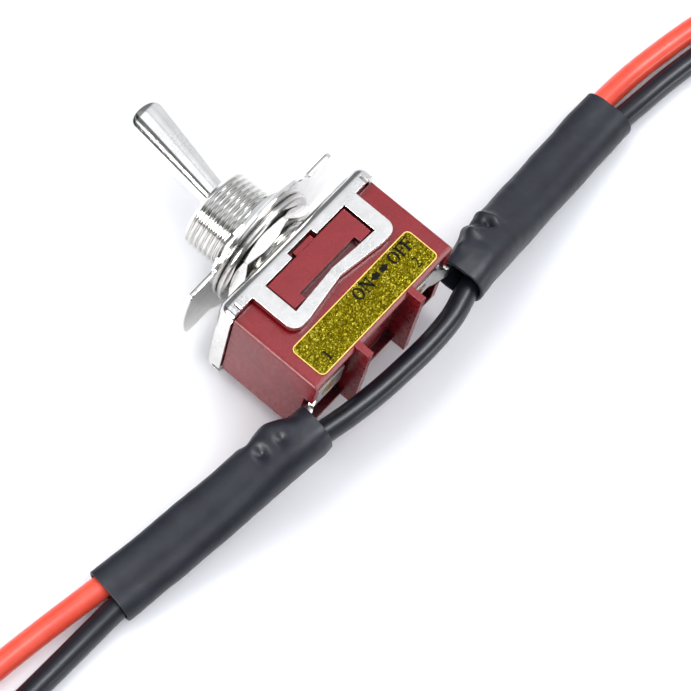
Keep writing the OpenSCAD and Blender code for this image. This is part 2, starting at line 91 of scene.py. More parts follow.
class Mat:
    """A procedural material: small helpers over its node tree."""

    def __init__(self, name, **base):
        self.m = bpy.data.materials.new(name)
        self.m.use_nodes = True
        self.t = self.m.node_tree
        self.bsdf = self.t.nodes["Principled BSDF"]
        for k, v in base.items():
            self.set(k.replace("_", " "), v)
        self.coord = self.t.nodes.new("ShaderNodeTexCoord")

    def set(self, socket, value):
        s = self.bsdf.inputs[socket]
        if isinstance(value, (tuple, list)) and len(value) == 3 and len(s.default_value) == 4:
            value = (*value, 1)
        s.default_value = value

    def n(self, kind, **props):
        node = self.t.nodes.new("ShaderNode" + kind)
        ins = props.pop("ins", {})
        for k, v in props.items():
            setattr(node, k, v)
        for k, v in ins.items():
            if isinstance(v, bpy.types.NodeSocket):
                self.t.links.new(v, node.inputs[k])
            else:
                node.inputs[k].default_value = v
        return node

    def link(self, out, socket):
        self.t.links.new(out, self.bsdf.inputs[socket])

    def pos(self, scale=(1, 1, 1), turn=(0, 0, 0)):
        """Object coordinates in millimetres."""
        node = self.n("Mapping", ins={"Vector": self.coord.outputs["Object"]})
        node.inputs["Scale"].default_value = [1000 * s for s in scale]
        node.inputs["Rotation"].default_value = turn
        return node.outputs[0]

    def noise(self, scale, detail=3, rough=0.5, vector=None, distortion=0):
        return self.n("TexNoise", ins={"Vector": vector or self.pos(), "Scale": scale, "Detail": detail,
                                       "Roughness": rough, "Distortion": distortion}).outputs["Fac"]

    def ramp(self, fac, stops):
        node = self.n("ValToRGB", ins={"Fac": fac})
        e = node.color_ramp.elements
        while len(e) < len(stops):
            e.new(0.5)
        for k, (p, c) in zip(e, stops):
            k.position = p
            k.color = (c, c, c, 1) if isinstance(c, (int, float)) else (*c, 1)
        return node.outputs["Color"]

    def value(self, fac, low, high, a=0.0, b=1.0):
        return self.n("MapRange", ins={"Value": fac, "From Min": a, "From Max": b, "To Min": low, "To Max": high}).outputs[0]

    def math(self, op, a, b=0.0):
        return self.n("Math", operation=op, ins={0: a, 1: b}).outputs[0]

    def mix(self, fac, a, b, mode="MIX"):
        node = self.n("Mix", data_type="RGBA", blend_type=mode)
        for k, v in ((0, fac), (6, a), (7, b)):
            if isinstance(v, bpy.types.NodeSocket):
                self.t.links.new(v, node.inputs[k])
            else:
                node.inputs[k].default_value = (*v, 1) if isinstance(v, tuple) and len(v) == 3 else v
        return node.outputs[2]

    def bump(self, height, strength=0.2, distance_mm=0.1):
        node = self.n("Bump", ins={"Height": height, "Strength": strength, "Distance": distance_mm * MM})
        self.t.links.new(node.outputs[0], self.bsdf.inputs["Normal"])


def plastic_red():
    m = Mat("case_plastic", Roughness=0.36, IOR=1.5, Specular_IOR_Level=0.42)
    cloud = m.noise(0.25, 4, 0.55)
    fine = m.noise(9, 3, 0.6)
    col = m.ramp(cloud, [(0.3, (0.20, 0.003, 0.007)), (0.55, (0.225, 0.004, 0.009)), (0.75, (0.25, 0.006, 0.012))])
    # painted shade: the red darkens towards near black in corners and recesses, by ambient occlusion
    painted_shade = m.n("AmbientOcclusion", only_local=True, samples=24, ins={"Distance": 8 * MM}).outputs["AO"]
    m.link(m.mix(m.value(painted_shade, 0.0, 1.0, 0.3, 0.82), (0.016, 0.0012, 0.0035), col), "Base Color")
    m.link(m.value(m.noise(0.7, 2, 0.5), 0.24, 0.31), "Roughness")
    m.bump(m.math("ADD", m.math("MULTIPLY", fine, 0.05), m.noise(0.4, 2)), 0.12, 0.03)
    return m.m


def bright_metal(name, color, rough, spread=0.08, streak=None, bump=0.02, mottle=0.5, painted_shade_reach=0.0, specks=0.0):
    m = Mat(name, Metallic=1.0, Roughness=rough)
    v = m.pos(streak) if streak else None
    grain = m.noise(3.0, 5, 0.65, v)
    patch = m.noise(0.5, 3, 0.5)
    lo = tuple(c * (1 - 0.16 * mottle) for c in color)
    tone = m.mix(m.value(patch, 0, 1, 0.35, 0.65), lo, color)
    # painted shade: the colour darkens to 40% in crevices and thread roots, by ambient occlusion over the given reach
    if painted_shade_reach:
        painted_shade = m.n("AmbientOcclusion", only_local=True, ins={"Distance": painted_shade_reach * MM}).outputs["AO"]
        tone = m.mix(m.value(painted_shade, 0, 1, 0.35, 0.8), tuple(c * 0.4 for c in color), tone)
    if specks:
        where = m.value(m.noise(0.16, 2, 0.5, m.pos(turn=(0.3, 0.5, 0.9))), 0, specks, 0.44, 0.62)
        dots = m.value(m.noise(5.5, 2, 0.6), 0, 1, 0.5, 0.66)
        tone = m.mix(m.math("MULTIPLY", dots, where), tone, tuple(c * 0.25 for c in color))
    m.link(tone, "Base Color")
    m.link(m.value(grain, max(rough - spread, 0.03), rough + spread, 0.3, 0.7), "Roughness")
    m.bump(m.noise(6.0, 3, 0.6, v), 0.3, bump)
    return m.m


def brass():
    m = Mat("contact_brass", Metallic=1.0, Roughness=0.3)
    m.link(m.ramp(m.noise(1.5, 4), [(0.3, (0.26, 0.155, 0.05)), (0.7, (0.50, 0.33, 0.13))]), "Base Color")
    m.link(m.value(m.noise(5, 3), 0.22, 0.45), "Roughness")
    m.bump(m.noise(8, 3), 0.2, 0.02)
    return m.m


def foil():
    """Gold-green glitter foil: each flake has its own brightness and lean."""
    m = Mat("label_foil", Roughness=0.35, Metallic=1.0)
    wavy = m.n("TexNoise", ins={"Vector": m.pos(), "Scale": 1.3, "Detail": 4, "Roughness": 0.7})
    flake = m.n("TexVoronoi", ins={"Vector": m.mix(0.35, m.pos(), wavy.outputs["Color"], "ADD"), "Scale": 5.6, "Randomness": 1.0})
    tone = m.n("SeparateColor", ins={"Color": flake.outputs["Color"]})
    both = m.math("ADD", m.math("MULTIPLY", tone.outputs[0], 0.62), m.math("MULTIPLY", wavy.outputs["Fac"], 0.62))
    m.link(m.ramp(both, [(0.28, (0.038, 0.030, 0.0005)), (0.52, (0.067, 0.053, 0.001)), (0.76, (0.118, 0.097, 0.003)),
                         (0.95, (0.31, 0.265, 0.026))]), "Base Color")
    m.link(m.value(tone.outputs[1], 0.22, 0.5), "Roughness")
    m.bump(m.math("ADD", flake.outputs["Distance"], m.math("MULTIPLY", wavy.outputs["Fac"], 0.8)), 0.35, 0.06)
    return m.m


def shrink():
    m = Mat("shrink_sleeve", Roughness=0.42, IOR=1.48, Specular_IOR_Level=0.44)
    m.link(m.ramp(m.noise(0.3, 4, 0.6), [(0.3, (0.008, 0.009, 0.015)), (0.7, (0.015, 0.017, 0.027))]), "Base Color")
    m.link(m.value(m.noise(2.5, 5, 0.65), 0.36, 0.5), "Roughness")
    m.bump(m.math("ADD", m.noise(1.0, 3, 0.6), m.math("MULTIPLY", m.noise(14, 2), 0.25)), 0.35, 0.08)
    return m.m


def pvc(name, dark, light, rough):
    m = Mat(name, Roughness=rough, IOR=1.5)
    m.link(m.ramp(m.noise(0.35, 4, 0.6), [(0.3, dark), (0.7, light)]), "Base Color")
    m.link(m.value(m.noise(0.8, 2, 0.5), rough - 0.03, rough + 0.05), "Roughness")
    m.bump(m.noise(0.4, 1, 0.5), 0.15, 0.06)
    return m.m


def plain(name, a, b, rough=0.5, metallic=0.0, scale=1.2, bump=0.03, level=0.5):
    m = Mat(name, Roughness=rough, Metallic=metallic, Specular_IOR_Level=level)
    m.link(m.ramp(m.noise(scale, 4), [(0.3, a), (0.7, b)]), "Base Color")
    m.link(m.value(m.noise(4, 3), rough - 0.08, rough + 0.1), "Roughness")
    m.bump(m.noise(7, 3), 0.25, bump)
    return m.m


MAT = {
    "case_plastic": plastic_red(),
    "bright_steel": bright_metal("bright_steel", (0.80, 0.79, 0.765), 0.17, 0.07, mottle=0.5, bump=0.025, specks=0.45),
    "nickel_plate": bright_metal("nickel_plate", (0.85, 0.84, 0.81), 0.11, 0.04, bump=0.008, specks=0.25),
    "thread_nickel": bright_metal("thread_nickel", (0.90, 0.89, 0.86), 0.17, 0.05, bump=0.012, painted_shade_reach=0.6, specks=0.25),
    "plain_steel": bright_metal("plain_steel", (0.62, 0.61, 0.60), 0.2, 0.08),
    "contact_silver": bright_metal("contact_silver", (0.80, 0.80, 0.78), 0.28),
    "terminal_plate": bright_metal("terminal_plate", (0.52, 0.51, 0.48), 0.3, 0.04, painted_shade_reach=2.5),
    "solder": bright_metal("solder", (0.80, 0.80, 0.80), 0.25, 0.1, bump=0.08),
    "tinned_strands": bright_metal("tinned_strands", (0.76, 0.60, 0.46), 0.3, 0.08),
    "contact_brass": brass(),
    "label": foil(),
    "shrink_sleeve": shrink(),
    "red_insulation": pvc("red_insulation", (0.80, 0.068, 0.036), (0.90, 0.098, 0.056), 0.33),
    "black_insulation": pvc("black_insulation", (0.004, 0.005, 0.009), (0.008, 0.010, 0.017), 0.33),
    "insulation": plain("insulation", (0.16, 0.11, 0.07), (0.25, 0.18, 0.12), 0.7),
    "plunger_plastic": plain("plunger_plastic", (0.72, 0.69, 0.58), (0.8, 0.77, 0.68), 0.45),
    "label_ink": plain("label_ink", (0.002, 0.002, 0.001), (0.005, 0.004, 0.002), 0.6, level=0.12),
    "label_edge": plain("label_edge", (0.72, 0.44, 0.07), (0.92, 0.62, 0.18), 0.4, 0.4),
    "mark_ink": plain("mark_ink", (0.02, 0.02, 0.022), (0.04, 0.04, 0.042), 0.5),
}


# ---- mesh helpers ------------------------------------------------------

def piece(name, verts, faces, body, slot, replaces=(), mat=None, smooth=38, close=1e-5):
    me = bpy.data.meshes.new(name)
    me.from_pydata([Vector(v) * MM for v in verts], [], faces)
    bm = bmesh.new()
    bm.from_mesh(me)
    bmesh.ops.remove_doubles(bm, verts=bm.verts, dist=close * MM)
    bmesh.ops.recalc_face_normals(bm, faces=bm.faces)
    bm.to_mesh(me)
    bm.free()
    return finish_piece(name, me, body, slot, replaces, mat, smooth)


def finish_piece(name, me, body, slot, replaces=(), mat=None, smooth=38):
    me.materials.clear()
    me.materials.append(mat or MAT[slot])
    me.shade_smooth()
    me.set_sharp_from_angle(angle=math.radians(smooth))
    ob = bpy.data.objects.new(name, me)
    SCENE.collection.objects.link(ob)
    if body:
        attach(ob, body)
    if replaces:
        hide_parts(*replaces)
    return ob


def lever_place(v):
    """From the lever's own frame (its axis along Y, pivot at the origin)."""
    x, y, z = v
    return (x * math.cos(TILT) + y * math.sin(TILT), -x * math.sin(TILT) + y * math.cos(TILT) + PIVOT_Y, z)


def lathe(points, n=128):
    """Closed outline of [radius, y] turned about the Y axis."""
    vs, fs, m = [], [], len(points)
    for i in range(n):
        a = 2 * math.pi * i / n
        vs += [(r * math.cos(a), y, r * math.sin(a)) for r, y in points]
    for i in range(n):
        j = (i + 1) % n
        for k in range(m):
            l = (k + 1) % m
            if points[k][0] < 1e-9 and points[l][0] < 1e-9:
                continue
            q = [i * m + k, i * m + l, j * m + l, j * m + k]
            if points[k][0] < 1e-9:
                q = [i * m + k, i * m + l, j * m + l]
            elif points[l][0] < 1e-9:
                q = [i * m + k, i * m + l, j * m + k]
            fs.append(q)
    return vs, fs


def arc(cx, cy, r, a0, a1, n=8):
    return [(cx + r * math.cos(math.radians(a0 + (a1 - a0) * k / n)),
             cy + r * math.sin(math.radians(a0 + (a1 - a0) * k / n))) for k in range(n + 1)]


def bezier_like(points, per=8):
    """Smooth points through a route (Catmull-Rom)."""
    p = [Vector(q) for q in points]
    out = []
    for i in range(len(p) - 1):
        a, b, c, d = p[max(i - 1, 0)], p[i], p[i + 1], p[min(i + 2, len(p) - 1)]
        for k in range(per):
            t = k / per
            out.append(0.5 * ((2 * b) + (c - a) * t + (2 * a - 5 * b + 4 * c - d) * t * t
                              + (3 * b - a - 3 * c + d) * t ** 3))
    out.append(p[-1])
    return out


# ---- routes, as in the CAD ---------------------------------------------

LEFT_RED = [(-22, -15.2, -2.1), (-25, -14.75, -3.2), (-30, -13.95, -4.7), (-36, -12.9, -6.4), (-42, -11.9, -7.8),
            (-47, -11, -8.7), (-52, -10.1, -9.2), (-57, -9.3, -9.4), (-64, -8.4, -9.4), (-72, -7.6, -9.4),
            (-80, -7.2, -9.4), (-88, -7.2, -9.4), (-96, -7.6, -9.4), (-106, -8.7, -9.4)]
RIGHT_RED = [(24.5, -16.3, -2.6), (27, -16.1, -3.2), (33, -15.7, -4.7), (40, -15.3, -6.4), (47, -14.9, -7.8),
             (52.5, -14.6, -8.7), (58, -14.7, -9.25), (64, -15.3, -9.4), (72, -16.6, -9.4), (80, -18.4, -9.4),
             (88, -20.6, -9.4), (96, -23.2, -9.4), (106, -26.8, -9.4)]
BLACK = [(-106, -14.8, -9.4), (-96, -13.9, -9.4), (-88, -13.5, -9.4), (-80, -13.4, -9.4),
         (-72, -13.5, -9.4), (-64, -13.8, -9.4), (-57, -14, -9.4), (-52, -14.15, -9.2), (-47, -14.4, -8.7),
         (-42, -15.3, -7.8), (-36, -16.3, -6.4), (-30, -17.3, -4.7), (-25, -18.1, -3.3), (-21, -18.6, -2.2),
         (-18.5, -18.95, -1.6), (-16, -19.2, -1.2), (-14.1, -19.45, -1), (-10, -20.3, -0.9), (-5, -21, -0.9),
         (0, -21.4, -0.9), (5, -21.6, -0.9), (10, -21.3, -0.9), (14.3, -20.3, -1), (17, -20.05, -1.2),
         (19.5, -19.95, -1.6), (22.5, -19.75, -2.1), (27, -19.5, -3.3), (33, -19.1, -4.7), (40, -18.7, -6.4),
         (47, -18.3, -7.8), (52.5, -18.1, -8.7), (58, -18.5, -9.25), (64, -19.1, -9.4), (72, -20.4, -9.4),
         (80, -22.2, -9.4), (88, -24.4, -9.4), (96, -27, -9.4), (106, -30.6, -9.4)]
LEAD_R = 1.6


def lead(name, route, replaces, slot, length=None, exit_at=None):
    """A lead as one open spline with a round section."""
    pts = [Vector((p.x, p.y, max(p.z, -9.4))) for p in bezier_like(route, 6)]
    cu = bpy.data.curves.new(name, "CURVE")
    cu.dimensions = "3D"
    cu.bevel_depth = LEAD_R * MM
    cu.bevel_resolution = 10
    cu.use_fill_caps = True
    sp = cu.splines.new("POLY")
    sp.points.add(len(pts) - 1)
    for q, p in zip(sp.points, pts):
        q.co = (*(p * MM), 1)
    sp.use_smooth = True
    cu.materials.append(MAT[slot])
    ob = bpy.data.objects.new(name, cu)
    SCENE.collection.objects.link(ob)
    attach(ob, SWITCH)
    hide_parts(replaces)
    run = sum((b - a).length for a, b in zip(pts, pts[1:])) * MM
    return ob, run, pts


def strands(name, node, p, q, n=7, core=0.95, length=6.0):
    """Seven tinned strands with a slight twist, beyond the insulation at p, leaving along p - q."""
    p, q = Vector(p), Vector(q)
    t = (p - q).normalized()
    s = t.cross(Vector((0, 0, 1))).normalized()
    u = s.cross(t)
    vs, fs, sides, rings = [], [], 10, 24
    r = core / 3
    for k in range(n):
        base = len(vs)
        off = 0 if k == 0 else 2 * r * 0.98
        for i in range(rings + 1):
            w = 2 * math.pi * (k / (n - 1)) + 1.9 * i / rings
            end = length - (0.0 if k == 0 else 0.12 * ((k * 7) % 4))
            c = p + t * (end * i / rings - 0.4) + (s * math.cos(w) + u * math.sin(w)) * off
            rr = r * (1.0 if 0 < i < rings else 0.8)
            for j in range(sides):
                a = 2 * math.pi * j / sides
                vs.append(tuple(c + (s * math.cos(a) + u * math.sin(a)) * rr))
        for i in range(rings):
            for j in range(sides):
                a, b = base + i * sides + j, base + i * sides + (j + 1) % sides
                fs.append([a, b, b + sides, a + sides])
        fs.append([base + j for j in range(sides)])
        fs.append([base + rings * sides + j for j in range(sides)][::-1])
    return piece(name, vs, fs, SWITCH, "tinned_strands", [node], smooth=60)


def cut(route, x0, x1):
    """The part of a route between two x values, with the points at the cuts."""
    out = []
    for a, b in zip(route, route[1:]):
        a, b = Vector(a), Vector(b)
        lo, hi = sorted((a.x, b.x))
        for x in (x0, x1):
            if lo < x < hi:
                out.append(tuple(a.lerp(b, (x - a.x) / (b.x - a.x))))
    pts = [p for p in route if x0 <= p[0] <= x1] + out
    return sorted(set(pts), key=lambda p: p[0])


def leads():
    strands("left_red_strands_wire", "left_red_strands", LEFT_RED[-1], LEFT_RED[-2])
    strands("right_red_strands_wire", "right_red_strands", RIGHT_RED[-1], RIGHT_RED[-2])
    strands("left_black_strands_wire", "left_black_strands", BLACK[0], BLACK[1])
    strands("right_black_strands_wire", "right_black_strands", BLACK[-1], BLACK[-2])
    end = 45
    jobs = [("left_red_lead_wire", cut(LEFT_RED, -106, -end)[::-1], "left_red_lead", "red_insulation", "lr"),
            ("right_red_lead_wire", cut(RIGHT_RED, 50, 106), "right_red_lead", "red_insulation", "rr"),
            ("left_black_lead_wire", cut(BLACK, -106, -end)[::-1], "black_lead", "black_insulation", "lb"),
            ("right_black_lead_wire", cut(BLACK, 50, 106), "black_lead", "black_insulation", "rb")]
    for name, route, node, slot, tail in jobs:
        ob, run, pts = lead(name, route, node, slot)
    lead("left_red_lead_inner", cut(LEFT_RED, -end, -20), "left_red_lead", "red_insulation")
    lead("right_red_lead_inner", cut(RIGHT_RED, 20, 50), "right_red_lead", "red_insulation")
    lead("black_lead_middle", cut(BLACK, -end, 50), "black_lead", "black_insulation")


leads()


# ---- heat-shrink sleeves ---------------------------------------------------

LEFT_SLEEVE = [(-14.45, -18.45, -0.4, 3.1, 3.0), (-16, -18.2, -0.6, 3.4, 3.2), (-18.5, -17.6, -1.0, 3.65, 3.3),
               (-21, -17.0, -1.9, 3.8, 3.2), (-25, -16.4, -3.2, 3.8, 2.8), (-30, -15.6, -4.7, 3.85, 2.45),
               (-36, -14.6, -6.4, 3.9, 2.35), (-42, -13.6, -7.8, 3.9, 2.35), (-47, -12.8, -8.6, 3.95, 2.35)]
RIGHT_SLEEVE = [(14.3, -18.95, -0.4, 3.5, 3.0), (17, -18.7, -0.6, 3.5, 3.2), (19.5, -18.4, -1.1, 3.65, 3.3),
                (22.5, -18.1, -1.9, 3.75, 3.2), (27, -17.8, -3.2, 3.8, 2.8), (33, -17.4, -4.7, 3.8, 2.45),
                (40, -17.0, -6.4, 3.85, 2.35), (47, -16.6, -7.8, 3.9, 2.35), (52.5, -16.4, -8.6, 3.9, 2.35)]


def sleeve(name, node, stations, marks, sag):
    """A shrunk tube round two leads. Marks are (x, angle from +Y over the top, length, width, height)
    dents and bumps; sag is how far the film dips between the two leads."""
    wall, n, per = 0.45, 96, 20
    route = bezier_like([q[:3] for q in stations], per)
    sizes = bezier_like([(q[3], q[4], 0) for q in stations], per)
    m = len(route)
    flip = 1 if stations[-1][0] < 0 else -1     # the side vector points to +Y on the left sleeve

    def ring(i, inset, slide=0.0):
        t = (route[min(i + 1, m - 1)] - route[max(i - 1, 0)]).normalized()
        s = t.cross(Vector((0, 0, 1))).normalized()
        u = s.cross(t)
        a, b = sizes[i][0], sizes[i][1]
        x = route[i].x
        out = []
        for k in range(n):
            w = 2 * math.pi * k / n
            c, q = math.cos(w), math.sin(w)
            e = 2 / (2.95 + 0.65 * flip * c)   # rounder over the black lead
            ca, qb = math.copysign(abs(c) ** e, c), math.copysign(abs(q) ** e, q)
            half = max(a - b, 0)
            # a stadium where the tube is wide, a soft oval where it is nearly round
            share = min(half / 1.4, 1) * 0.12
            sx = (1 - share) * a * ca + share * (math.copysign(half, c) * min(abs(c) * 3.2, 1) + b * c)
            sz = (1 - share) * b * qb + share * b * q
            d = Vector((sx / a / a, sz / b / b)).normalized()
            from_y = math.degrees(math.atan2(sz / b, flip * sx / a))
            push = -inset
            for mx, ma, wx, wa, h in marks:
                g = ((x - mx) / wx) ** 2 + ((from_y - ma) / wa) ** 2
                if g < 9:
                    push += h * math.exp(-g)
            if q > 0:
                push -= sag * min(half / 1.4, 1) * math.exp(-((sx / a) / 0.28) ** 2)
            p3 = Vector((x, sx, sz))
            push += 0.09 * noise.noise(p3 * 0.22 + Vector((7, 3, 1))) + 0.035 * noise.noise(p3 * 0.75)
            out.append(route[i] + s * (sx + d[0] * push) + u * (sz + d[1] * push) + t * slide)
        return out

    rings = [ring(0, wall * 0.5, -0.04), ring(0, wall * 0.2, -0.02), ring(0, 0.0, 0.06)]
    rings += [ring(i, 0.0) for i in range(1, m - 1)]
    rings += [ring(m - 1, 0.0, -0.06), ring(m - 1, wall * 0.2, 0.02), ring(m - 1, wall * 0.5, 0.04), ring(m - 1, wall * 0.85, 0.02)]
    rings += [ring(i, wall) for i in range(m - 1, -1, -1)]
    rings += [ring(0, wall * 0.85, -0.02)]
    vs = [tuple(p) for r_ in rings for p in r_]
    fs = []
    for i in range(len(rings)):
        j = (i + 1) % len(rings)
        for k in range(n):
            l = (k + 1) % n
            fs.append([i * n + k, i * n + l, j * n + l, j * n + k])
    return piece(name, vs, fs, SWITCH, "shrink_sleeve", [node], smooth=50)


sleeve("left_sleeve_shrunk", "left_sleeve", LEFT_SLEEVE,
       [(-19.6, 33, 1.2, 22, 0.4), (-21.8, 72, 0.75, 15, -0.85), (-19.0, 76, 0.55, 15, -0.6), (-22.3, 20, 0.8, 20, -0.45), (-16.6, 34, 1.2, 24, -0.55)], 0.16)
sleeve("right_sleeve_shrunk", "right_sleeve", RIGHT_SLEEVE,
       [(22.4, 66, 0.42, 9, -0.95), (21.6, 38, 0.5, 26, -0.6), (23.3, 45, 0.5, 26, 0.42), (19.9, 50, 0.5, 12, 0.5),
        (18.5, 22, 0.7, 16, -0.55), (20.4, 22, 0.8, 14, 0.35), (17.2, 48, 0.8, 11, 0.32), (16.8, 20, 1.0, 18, -0.6),
        (23.7, 72, 0.55, 12, 0.32), (24.8, 82, 1.2, 11, -0.16), (19.0, 76, 0.6, 14, -0.2)], 0.16)


# ---- CAD nodes recast with fine edges ------------------------------------

def recast(node, body, slot, width=0.1, segments=2, angle=30, smooth=35, name=None, mat=None, dissolve=0.6):
    """A copy of a CAD node's mesh with its flat faces joined and its sharp edges eased."""
    me = NODE[node].data.copy()
    me.name = name or node + "_piece"
    bm = bmesh.new()
    bm.from_mesh(me)
    bmesh.ops.remove_doubles(bm, verts=bm.verts, dist=2e-6)
    bmesh.ops.dissolve_limit(bm, angle_limit=math.radians(dissolve), verts=bm.verts, edges=bm.edges)
    bmesh.ops.recalc_face_normals(bm, faces=bm.faces)
    bm.to_mesh(me)
    bm.free()
    for name_ in [a.name for a in me.attributes if a.name in ("custom_normal",)]:
        me.attributes.remove(me.attributes[name_])
    ob = finish_piece(me.name, me, body, slot, [node], mat, smooth)
    if width:
        mod = ob.modifiers.new("ease", "BEVEL")
        mod.width = width * MM
        mod.segments = segments
        mod.limit_method = "ANGLE"
        mod.angle_limit = math.radians(angle)
        mod.use_clamp_overlap = True
        mod.harden_normals = True
        mod.miter_outer = "MITER_ARC"
    return ob


recast("case", SWITCH, "case_plastic", 0.3, 3, 32)
recast("frame", SWITCH, "bright_steel", 0.12, 2, 32)
for n_, b_, s_ in (("insulating_sheet", SWITCH, "insulation"), ("rocker", ROCKER, "contact_brass"),
                   ("moving_contact", ROCKER, "contact_silver"), ("fulcrum_bracket", SWITCH, "contact_brass"),
                   ("contact_bracket", SWITCH, "contact_brass"), ("fixed_contact", SWITCH, "contact_silver"),
                   ("left_terminal", SWITCH, "terminal_plate"), ("right_terminal", SWITCH, "terminal_plate"),
                   ("lever_pin", LEVER, "plain_steel"),
                   ("plunger", PLUNGER, "plunger_plastic")):
    recast(n_, b_, s_, 0.05, 2, 32)
for n_ in ("left_solder", "right_solder", "label_foil"):
    NODE[n_].data.materials.clear()
    NODE[n_].data.materials.append(MAT[{"left_solder": "solder", "right_solder": "solder", "label_foil": "label"}[n_]])


# ---- the label's border and lettering --------------------------------------

FOIL_Z = 7.62           # front of the label


def slab(loop, z0, z1):
    """Prism over a plain outline."""
    n = len(loop)
    vs = [(x, y, z0) for x, y in loop] + [(x, y, z1) for x, y in loop]
    fs = [list(range(n))[::-1], [n + k for k in range(n)]]
    fs += [[k, (k + 1) % n, n + (k + 1) % n, n + k] for k in range(n)]
    return vs, fs


def hoop(outer, inner, z0, z1):
    """Prism between two outlines with the same number of points."""
    n = len(outer)
    vs = [(x, y, z) for z in (z0, z1) for loop in (outer, inner) for x, y in loop]
    fs = []
    for k in range(n):
        l = (k + 1) % n
        fs += [[k, l, n + l, n + k], [2 * n + k, 3 * n + k, 3 * n + l, 2 * n + l],
               [k, 2 * n + k, 2 * n + l, l], [n + k, n + l, 3 * n + l, 3 * n + k]]
    return vs, fs


def joined(parts):
    vs, fs = [], []
    for v, f in parts:
        base = len(vs)
        vs += v
        fs += [[base + i for i in q] for q in f]
    return vs, fs


def oval(cx, cy, rx, ry, n=40):
    return [(cx + rx * math.cos(2 * math.pi * k / n), cy + ry * math.sin(2 * math.pi * k / n)) for k in range(n)]


def rounded(cx, cy, w, h, r, n=8):
    return [q for x, y, a in ((1, 1, 0), (-1, 1, 90), (-1, -1, 180), (1, -1, 270))
            for q in arc(cx + x * (w / 2 - r), cy + y * (h / 2 - r), r, a, a + 90, n)]


def letter(kind, cx, cy, h):
    """Serifed capitals, figures and the two arrows, as outlines about a centre."""
    z0, z1 = FOIL_Z - 0.004, FOIL_Z + 0.012

    def bars(boxes):
        return [slab([(cx + x * h, cy + y * h) for x, y in q], z0, z1) for q in boxes]

    def rect(x0, y0, x1, y1):
        return [(x0, y0), (x1, y0), (x1, y1), (x0, y1)]

    if kind == "O":
        return [hoop(oval(cx, cy, 0.44 * h, 0.5 * h), oval(cx, cy, 0.23 * h, 0.40 * h), z0, z1)]
    if kind == "N":
        return bars([rect(-0.38, -0.5, -0.26, 0.42), rect(0.25, -0.4, 0.37, 0.5), rect(-0.48, -0.5, -0.16, -0.42),
                     rect(-0.48, 0.42, -0.24, 0.5), rect(0.15, 0.42, 0.47, 0.5),
                     [(-0.4, 0.5), (-0.12, 0.5), (0.37, -0.33), (0.37, -0.5), (0.24, -0.5)]])
    if kind == "F":
        return bars([rect(-0.32, -0.44, -0.1, 0.44), rect(-0.42, -0.5, 0.0, -0.42), rect(-0.42, 0.4, 0.34, 0.5),
                     [(0.34, 0.46), (0.22, 0.42), (0.27, 0.22), (0.36, 0.22)], rect(-0.14, -0.04, 0.18, 0.08),
                     rect(0.12, -0.14, 0.2, 0.18)])
    if kind == "<":
        return bars([[(-0.42, 0), (0.06, -0.36), (0.06, 0.36)], rect(0.04, -0.22, 0.4, 0.22)])
    if kind == ">":
        return bars([[(0.42, 0), (-0.06, 0.36), (-0.06, -0.36)], rect(-0.4, -0.22, -0.04, 0.22)])
    if kind == "1":
        return bars([rect(-0.1, -0.44, 0.1, 0.5), rect(-0.24, -0.5, 0.24, -0.42), [(-0.24, 0.32), (-0.1, 0.36), (-0.1, 0.5)]])
    bow = arc(0, 0.24, 0.26, 150, -35, 10)
    inner = arc(0, 0.24, 0.14, 150, -35, 10)
    two = [slab([(cx + x * h, cy + y * h) for x, y in (bow[k], bow[k + 1], inner[k + 1], inner[k])], z0, z1) for k in range(10)]
    return two + bars([[bow[-1], (-0.18, -0.4), (-0.3, -0.5), (-0.28, -0.42), inner[-1]], rect(-0.3, -0.5, 0.3, -0.38)])


def label():
    out = rounded(-0.2, -13.25, 23.46, 5.46, 0.78)
    inn = rounded(-0.2, -13.25, 23.2, 5.2, 0.65)
    piece("label_border", *hoop(out, inn, FOIL_Z - 0.004, FOIL_Z + 0.014), SWITCH, "label", mat=MAT["label_edge"])
    marks = []
    for kind, x in (("O", 0.1), ("N", 1.85), ("<", 3.45), (">", 5.25), ("O", 7.2), ("F", 8.75), ("F", 9.95)):
        marks += letter(kind, x, -11.85, 1.78 if kind not in "<>" else 1.8)
    for kind, x in (("1", -9.2), ("2", 8.8)):
        marks += letter(kind, x, -14.4, 1.5)
    piece("label_lettering", *joined(marks), SWITCH, "label", mat=MAT["label_ink"], close=1e-7)


label()


# ---- bushing -------------------------------------------------------------

